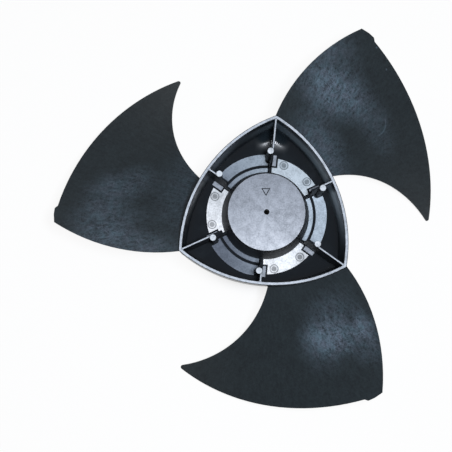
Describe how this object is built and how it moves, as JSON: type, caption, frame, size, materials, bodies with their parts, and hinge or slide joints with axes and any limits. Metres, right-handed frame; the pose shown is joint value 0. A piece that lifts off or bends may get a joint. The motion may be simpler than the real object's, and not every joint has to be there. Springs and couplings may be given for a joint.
{
  "type": "fan blade",
  "caption": "Axial fan wheel moulded in one piece: cambered, forward swept blades on a rounded triangular ribbed hub, with a central disc and bore for a motor shaft.",
  "frame": {"origin": "shaft axis at the disc face, where the nut seats", "axes": "+Z along the shaft axis towards the open side of the hub; X and Y as the picture shows the fan, X to its right and Y up"},
  "size_m": [0.3583, 0.3483, 0.1114],
  "materials": {
    "moulding": "satin black moulded plastic"
  },
  "bodies": {
    "root": {"fan_blade": "moulding"}
  },
  "joints": []
}
